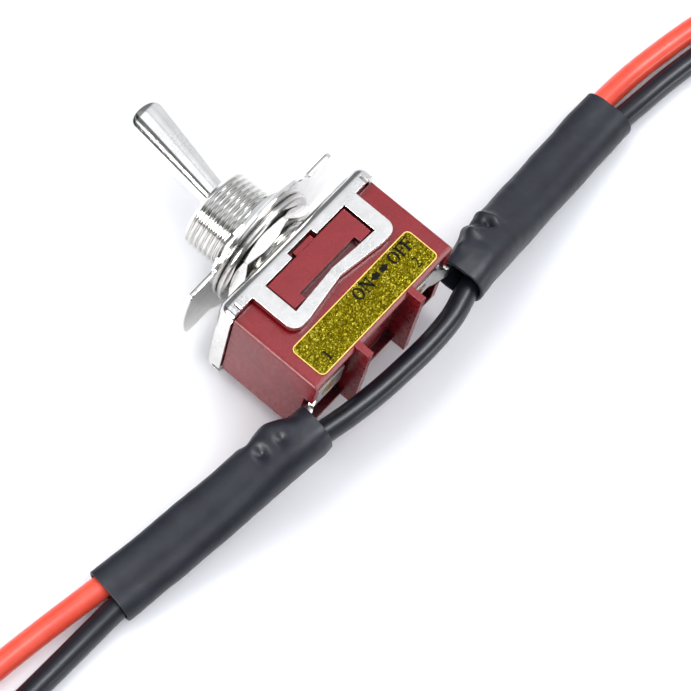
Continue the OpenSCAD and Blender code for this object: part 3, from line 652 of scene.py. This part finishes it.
def bushing():
    pitch, depth, crest, length = 0.794, 0.43, 5.92, 11.88
    n, y0 = 144, 0.0
    step = pitch / 10
    rows = int(round((length - y0) / step)) + 1

    def radius(y, a):
        t = ((y - 0.1) / pitch - a / (2 * math.pi)) % 1.0
        # crest flat, flank, root flat, flank
        if t < 0.14:
            d = 0
        elif t < 0.5:
            d = (t - 0.14) / 0.36
        elif t < 0.64:
            d = 1
        else:
            d = 1 - (t - 0.64) / 0.36
        r = crest - depth * d
        return min(r, crest - 0.62 + (length - y) * 1.1, 5.93)

    outer = []
    for i in range(rows):
        y = min(y0 + i * step, length)
        outer.append([(radius(y, 2 * math.pi * k / n), y) for k in range(n)])
    # from the front rim down the mouth to the ball's seat, then out underneath
    inside = ([(5.2, length), (4.0, length)] + arc(4.0, length - 0.25, 0.25, 90, 180, 4)[1:] + [(2.9, 6.7), (2.86, 6.2)]
              + [(3.5 * math.cos(math.radians(w)), PIVOT_Y + 3.5 * math.sin(math.radians(w))) for w in (38, 28, 18, 9)]
              + [(3.52, PIVOT_Y), (3.74, PIVOT_Y), (3.74, -1.6), (5.6, -1.6), (5.6, -0.92), (5.0, -0.9), (5.0, 0.0)])
    rings = [[(r, y) for r, y in row] for row in outer] + [[p] * n for p in inside]
    vs, fs = [], []
    for row in rings:
        for k, (r, y) in enumerate(row):
            a = 2 * math.pi * k / n
            vs.append((r * math.cos(a), y, r * math.sin(a)))
    m = len(rings)
    for i in range(m):
        j = (i + 1) % m
        for k in range(n):
            l = (k + 1) % n
            fs.append([i * n + k, i * n + l, j * n + l, j * n + k])
    piece("bushing_threaded", vs, fs, SWITCH, "nickel_plate", ["bushing"], mat=MAT["thread_nickel"], smooth=32)


bushing()


# ---- rivets of the two outer terminals ------------------------------------

def rivets():
    """Eyelet-headed rivets: rolled head behind, flat head inside the case."""
    prof = ([(0, -11.4), (1.1, -11.4), (1.45, -11.55), (1.6, -11.8), (1.6, -12.0), (1.25, -12.0), (1.25, -15.5), (1.3, -15.7)]
            + arc(0.95, -15.72, 0.35, 0, -90, 7) + arc(0.72, -15.9, 0.17, -90, -180, 4) + [(0.5, -15.6), (0, -15.6)])
    parts = []
    for side in (-1, 1):
        vs, fs = lathe(prof, 64)
        parts.append(([(x + side * 9.3, y, z) for x, y, z in vs], fs))
    piece("terminal_rivets_rolled", *joined(parts), SWITCH, "contact_brass", ["terminal_rivets"], smooth=40)


rivets()


# ---- lever ---------------------------------------------------------------

def lever():
    l, t = 24.5, 3.1
    pts = [(0, -1.5), (1.6, -1.5), (1.6, -8.4), (2.35, -8.4), (2.6, -8.15), (2.6, -2.3)]
    pts += [(3.4 * math.cos(math.radians(w)), 3.4 * math.sin(math.radians(w))) for w in range(-40, 53, 6)]
    pts += [(1.98, 3.0), (1.98, 8.2)]
    pts += [(1.98 + (t - 1.98) * (k / 12), 8.2 + (l - 1.9 - 8.2) * (k / 12)) for k in range(1, 13)]
    pts += [(t - 1.0 + 1.0 * math.cos(math.radians(w)), l - 1.9 + 1.45 * math.sin(math.radians(w))) for w in range(8, 91, 8)]
    pts += [((t - 1.0) * math.sin(math.radians(w)), l - 0.45 + 0.2 * math.cos(math.radians(w))) for w in (75, 60, 45, 30, 15, 0)]
    vs, fs = lathe(pts, 128)
    piece("lever_turned", [lever_place(v) for v in vs], fs, LEVER, "nickel_plate", ["lever"], smooth=40)


lever()


def spring():
    """The coil between the lever's bore and the plunger; it shortens as the plunger slides in."""
    turns, per, r, y0, y1, wire, sides = 6, 28, 1.2, -5.5, -1.6, 0.17, 10
    vs, fs, m = [], [], 6 * 28 + 1
    for i in range(m):
        w = 2 * math.pi * i / per
        c = Vector((r * math.cos(w), y0 + (y1 - y0) * i / (turns * per), r * math.sin(w)))
        out = Vector((math.cos(w), 0, math.sin(w)))
        along = Vector((-math.sin(w) * r, (y1 - y0) / (2 * math.pi * turns), math.cos(w) * r)).normalized()
        up = along.cross(out)
        for k in range(sides):
            a = 2 * math.pi * k / sides
            vs.append(lever_place(c + out * wire * math.cos(a) + up * wire * math.sin(a)))
    for i in range(m - 1):
        for k in range(sides):
            l = (k + 1) % sides
            fs.append([i * sides + k, i * sides + l, (i + 1) * sides + l, (i + 1) * sides + k])
    fs += [[k for k in range(sides)], [(m - 1) * sides + k for k in range(sides)][::-1]]
    ob = piece("plunger_spring_coil", vs, fs, None, "plain_steel", ["plunger_spring"], smooth=60)
    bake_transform(ob, LEVER, PLUNGER, tuple(Vector(lever_place((0, -1.7, 0))) * MM), tuple(Vector(lever_place((0, -5.4, 0))) * MM))


spring()


# ---- nuts, washer, plate -------------------------------------------------

def hex_nut(name, node, y0, t, af, corner, bore):
    """Hexagon nut whose chamfers cut true curves on its flats."""
    n = 180
    rc = af / math.sqrt(3)
    r0 = af / 2 - 0.15
    slope = math.tan(math.radians(28))
    vs, fs, m = [], [], 12
    for k in range(n):
        a = 2 * math.pi * k / n
        d = (math.degrees(a) - corner) % 60 - 30
        r = min(af / 2 / math.cos(math.radians(d)), rc - 0.09)
        c = max(r - r0, 0.02) * slope
        prof = [(bore, y0 + 0.3), (bore + 0.3, y0), (r0, y0), (r0 + (r - r0) * 0.93, y0 + c * 0.93), (r, y0 + c + 0.05),
                (r, y0 + t / 2), (r, y0 + t - c - 0.05), (r0 + (r - r0) * 0.93, y0 + t - c * 0.93), (r0, y0 + t),
                (bore + 0.3, y0 + t), (bore, y0 + t - 0.3), (bore, y0 + t / 2)]
        vs += [(q * math.cos(a), y, q * math.sin(a)) for q, y in prof]
    for k in range(n):
        l = (k + 1) % n
        for i in range(m):
            j = (i + 1) % m
            fs.append([k * m + i, k * m + j, l * m + j, l * m + i])
    piece(name, vs, fs, SWITCH, "nickel_plate", [node], smooth=22)


hex_nut("back_nut_hex", "back_nut", 0.95, 1.85, 14, 76, 5.95)
hex_nut("front_nut_hex", "front_nut", 4.4, 1.6, 14, 49, 5.95)


def washer():
    y0, y1, r = 2.8, 3.75, 8.7
    ring = [(7.0, y0), (r - 0.4, y0)] + arc(r - 0.4, y0 + 0.4, 0.4, -90, 0, 6)[1:] + arc(r - 0.4, y1 - 0.4, 0.4, 0, 90, 6) + [(7.0, y1), (6.9, y1 - 0.1), (6.9, y0 + 0.1)]
    vs, fs = lathe(ring, 160)
    for k in range(14):
        a = math.radians(k * 360 / 14)
        base = len(vs)
        tw = math.radians(18)
        for dx in (-0.55, 0.55):
            for dy in (-0.22, 0.22):
                for dz in (-0.65, 0.65):
                    y = dy * math.cos(tw) - dz * math.sin(tw)
                    z = dy * math.sin(tw) + dz * math.cos(tw)
                    x = 6.62 + dx
                    vs.append((x * math.cos(a) + z * math.sin(a), (y0 + y1) / 2 + y, -x * math.sin(a) + z * math.cos(a)))
        for q in ((0, 1, 3, 2), (4, 6, 7, 5), (0, 4, 5, 1), (2, 3, 7, 6), (0, 2, 6, 4), (1, 5, 7, 3)):
            fs.append([base + i for i in q])
    piece("lock_washer_ring", vs, fs, SWITCH, "plain_steel", ["lock_washer"], smooth=40)


washer()


def plate():
    """Disc with two wings, blended by small fillets, its edges eased."""
    y0, y1, disc, wing, half = 3.75, 4.4, 11.0, 15.0, 6.0
    turn = math.radians(3)
    outline = []
    n = 360
    for k in range(n):
        a = 2 * math.pi * k / n
        c, s = abs(math.cos(a)), abs(math.sin(a))
        r = disc
        lim = half / max(s, 1e-6)
        w = min(wing, lim)
        if c > s and w > disc:
            r = w
        outline.append((a, r))
    rs = [r for _, r in outline]
    for _ in range(3):
        rs = [(rs[i - 1] + 2 * rs[i] + rs[(i + 1) % n]) / 4 for i in range(n)]
    rings = [(lambda r: 6.03, y0), (lambda r: r - 0.12, y0), (lambda r: r, y0 + 0.12), (lambda r: r, y1 - 0.12),
             (lambda r: r - 0.12, y1), (lambda r: 6.03, y1)]
    vs, fs = [], []
    m = len(rings)
    for k in range(n):
        a = outline[k][0]
        b = a + turn
        for f, y in rings:
            r = f(rs[k])
            vs.append((r * math.cos(b), y, r * math.sin(b)))
    for k in range(n):
        l = (k + 1) % n
        for i in range(m):
            j = (i + 1) % m
            fs.append([k * m + i, k * m + j, l * m + j, l * m + i])
    piece("indicator_plate_sheet", vs, fs, SWITCH, "nickel_plate", ["indicator_plate"], smooth=30)


plate()


# ---- stage -----------------------------------------------------------------

def stage():
    size = 3
    me = bpy.data.meshes.new("floor")
    me.from_pydata([(-size, -size, REST_Z * MM), (size, -size, REST_Z * MM), (size, size, REST_Z * MM), (-size, size, REST_Z * MM)],
                   [], [(0, 1, 2, 3)])
    m = Mat("floor", Roughness=0.6)
    m.link(m.ramp(m.noise(0.02, 2), [(0.3, (0.93, 0.935, 0.96)), (0.7, (0.95, 0.955, 0.975))]), "Base Color")
    me.materials.append(m.m)
    ob = bpy.data.objects.new("floor", me)
    SCENE.collection.objects.link(ob)

    # a pale paper dome closes the view above the floor; it lights nothing
    bm = bmesh.new()
    bmesh.ops.create_uvsphere(bm, u_segments=48, v_segments=24, radius=2.9)
    bmesh.ops.bisect_plane(bm, geom=bm.verts[:] + bm.edges[:] + bm.faces[:], plane_co=(0, 0, REST_Z * MM),
                           plane_no=(0, 0, 1), clear_inner=True)
    me = bpy.data.meshes.new("backdrop")
    bm.to_mesh(me)
    bm.free()
    me.shade_smooth()
    m = Mat("backdrop_paper", Roughness=1.0, Emission_Strength=0.86)
    m.link(m.ramp(m.noise(0.002, 2), [(0.3, (0.90, 0.91, 0.94)), (0.7, (0.94, 0.95, 0.98))]), "Emission Color")
    m.set("Base Color", (0.05, 0.05, 0.05))
    me.materials.append(m.m)
    ob = bpy.data.objects.new("backdrop", me)
    SCENE.collection.objects.link(ob)
    for ray in ("diffuse", "glossy", "transmission", "shadow", "volume_scatter"):
        setattr(ob, "visible_" + ray, False)

    # the studio round the table: soft panels overhead and to the -X side, with
    # darker gaps between them, laid out by the angle about the Y axis
    w = bpy.data.worlds.new("world")
    SCENE.world = w
    w.use_nodes = True
    t = w.node_tree
    bg = t.nodes["Background"]
    co = t.nodes.new("ShaderNodeTexCoord")
    sep = t.nodes.new("ShaderNodeSeparateXYZ")
    t.links.new(co.outputs["Generated"], sep.inputs[0])
    turn = t.nodes.new("ShaderNodeMath")
    turn.operation = "ARCTAN2"
    t.links.new(sep.outputs[2], turn.inputs[0])
    t.links.new(sep.outputs[0], turn.inputs[1])
    mr = t.nodes.new("ShaderNodeMapRange")
    mr.inputs["From Min"].default_value = 0
    mr.inputs["From Max"].default_value = math.pi
    away = t.nodes.new("ShaderNodeMath")          # the room beyond both ends of that band is darker
    away.operation = "ABSOLUTE"
    t.links.new(sep.outputs[1], away.inputs[0])
    back = t.nodes.new("ShaderNodeMapRange")
    back.interpolation_type = "SMOOTHSTEP"
    for k, v in (("From Min", 0.38), ("From Max", 0.66), ("To Min", 1.0), ("To Max", 0.25)):
        back.inputs[k].default_value = v
    t.links.new(away.outputs[0], back.inputs[0])
    dim = t.nodes.new("ShaderNodeMix")
    dim.data_type = "RGBA"
    dim.blend_type = "MULTIPLY"
    dim.inputs[0].default_value = 1
    t.links.new(turn.outputs[0], mr.inputs[0])
    ramp = t.nodes.new("ShaderNodeValToRGB")
    t.links.new(mr.outputs[0], ramp.inputs[0])
    e = ramp.color_ramp.elements
    stops = [(0, 0.75), (20, 0.8), (45, 0.72), (60, 0.86), (72, 0.88), (82, 0.72), (89, 1.15), (124, 1.15), (129, 0.13),
             (148, 0.1), (151, 1.25), (159, 1.15), (162, 0.07), (180, 0.05)]
    while len(e) < len(stops):
        e.new(0.5)
    for k, (p, v) in zip(e, stops):
        k.position = p / 180
        k.color = (v * 0.97, v * 0.99, v * 1.05, 1)
    t.links.new(ramp.outputs[0], dim.inputs[6])
    t.links.new(back.outputs[0], dim.inputs[7])
    t.links.new(dim.outputs[2], bg.inputs["Color"])
    bg.inputs["Strength"].default_value = WORLD

    def area(name, at, to, size, power, tint=(1, 1, 1)):
        li = bpy.data.lights.new(name, "AREA")
        li.shape = "RECTANGLE"
        li.size, li.size_y = size
        li.energy = power
        li.color = tint
        o = bpy.data.objects.new(name, li)
        at, to = Vector(at), Vector(to)
        o.matrix_world = Matrix.Translation(at) @ (at - to).to_track_quat("Z", "Y").to_matrix().to_4x4()
        SCENE.collection.objects.link(o)
        return o

    area("key", (0.05, 0.5, 0.85), (0, 0, 0), (0.9, 0.7), 5.4, (1, 0.985, 0.965)).visible_glossy = False
    area("left", (-0.85, 0.1, 0.45), (0, 0, 0), (0.6, 0.4), 1.7).visible_glossy = False
    area("fill", (-0.1, -0.45, 0.85), (0, 0, 0), (0.9, 0.7), 3.9, (0.96, 0.98, 1)).visible_glossy = False
    area("softbox", (0.345, -0.14, 0.80), (0, 0, 0), (0.26, 0.42), 4.6, (0.97, 0.98, 1)).visible_diffuse = False
    area("band", (-0.055, -0.22, 0.82), (0, 0, 0), (0.25, 0.26), 0.35, (0.97, 0.98, 1)).visible_diffuse = False
    area("side", (-0.8, 0.12, 0.35), (0, 0, 0), (0.25, 0.28), 8).visible_diffuse = False
    area("back", (0.35, -0.8, 0.17), (0, 0, 0), (0.3, 0.16), 1.4).visible_diffuse = False


WORLD = 1.12
stage()
SCENE.view_settings.view_transform = "Standard"
SCENE.view_settings.look = "None"
